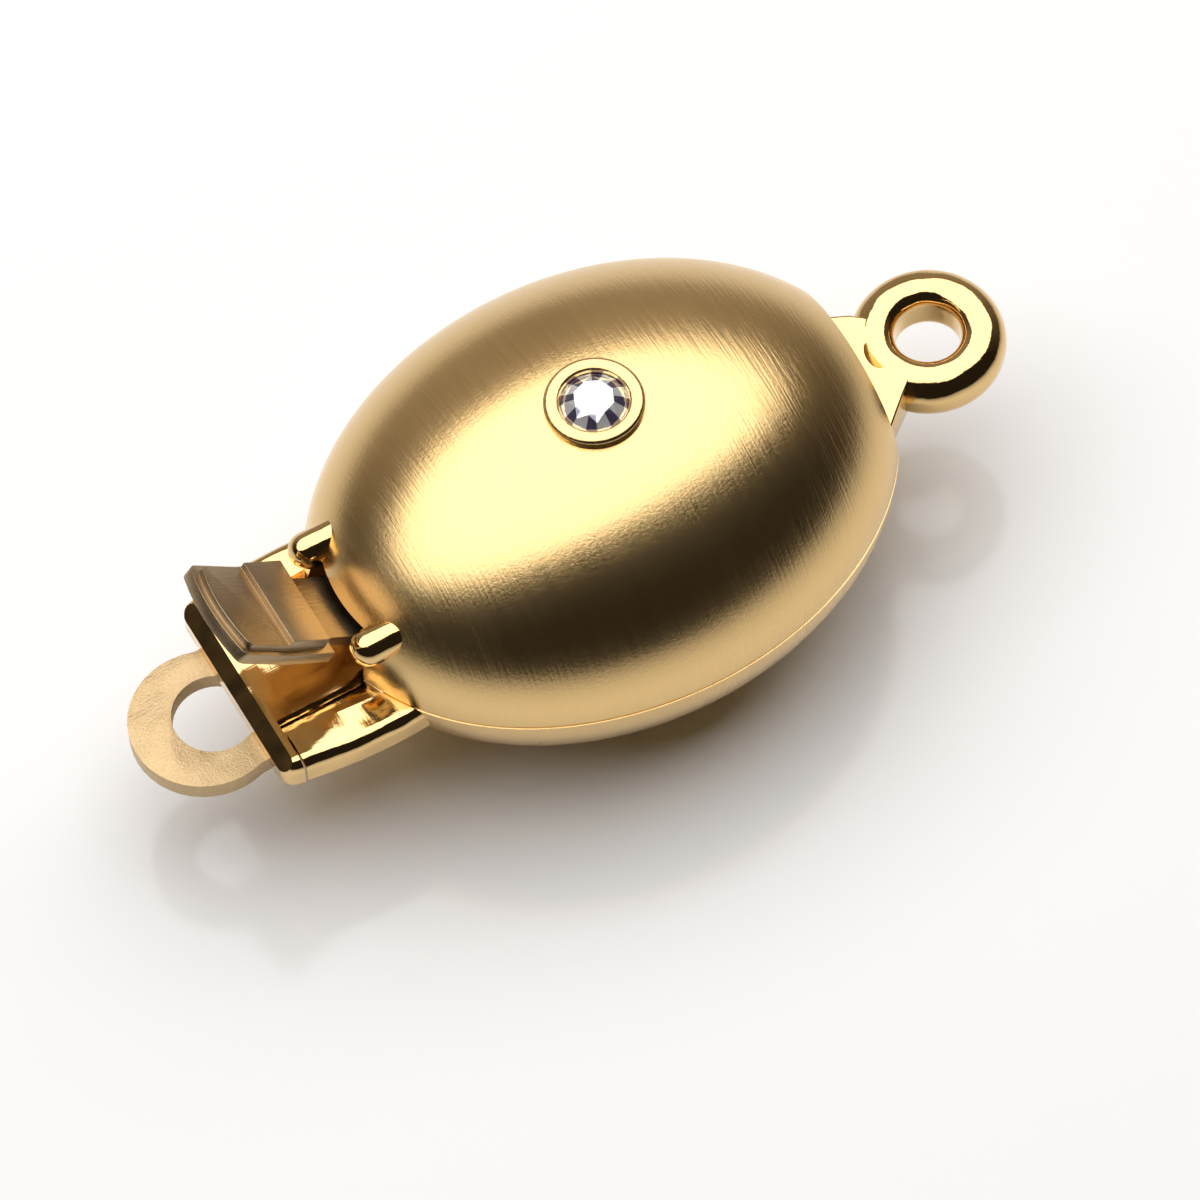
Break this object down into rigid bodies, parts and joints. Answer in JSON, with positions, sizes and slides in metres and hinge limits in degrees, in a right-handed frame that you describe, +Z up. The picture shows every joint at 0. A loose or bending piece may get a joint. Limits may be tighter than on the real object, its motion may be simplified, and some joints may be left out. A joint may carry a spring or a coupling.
{
  "type": "jewelry clasp",
  "caption": "Gold oval box clasp with a satin egg-shaped body, a round stone in a bezel, a ring at one end and a slide-out tongue with a thumb piece and a loop at the other.",
  "frame": {"origin": "under the middle of the clasp's length, at the height of the body's lowest point", "axes": "+X along the clasp towards the fixed ring, +Z up towards the stone, +Y across"},
  "size_m": [0.0176, 0.0086, 0.0068],
  "materials": {
    "satin_gold": "satin",
    "polished_gold": "polished",
    "spring_gold": "satin",
    "diamond": "polished"
  },
  "bodies": {
    "case": {"case": "satin_gold", "stone": "diamond"},
    "tongue": {"tongue": "polished_gold"},
    "spring_leaf": {"spring_leaf": "spring_gold"}
  },
  "joints": [
    {"name": "tongue_slide", "type": "slide", "parent": "case", "child": "tongue", "axis": [-1, 0, 0], "range_m": [0, 0.0063]},
    {"name": "leaf_press", "type": "hinge", "parent": "tongue", "child": "spring_leaf", "pos_m": [-0.00064, 0, 0.00345], "axis": [0, 1, 0], "range_deg": [-5, 0], "stiffness_Nm_per_rad": 0.005}
  ]
}
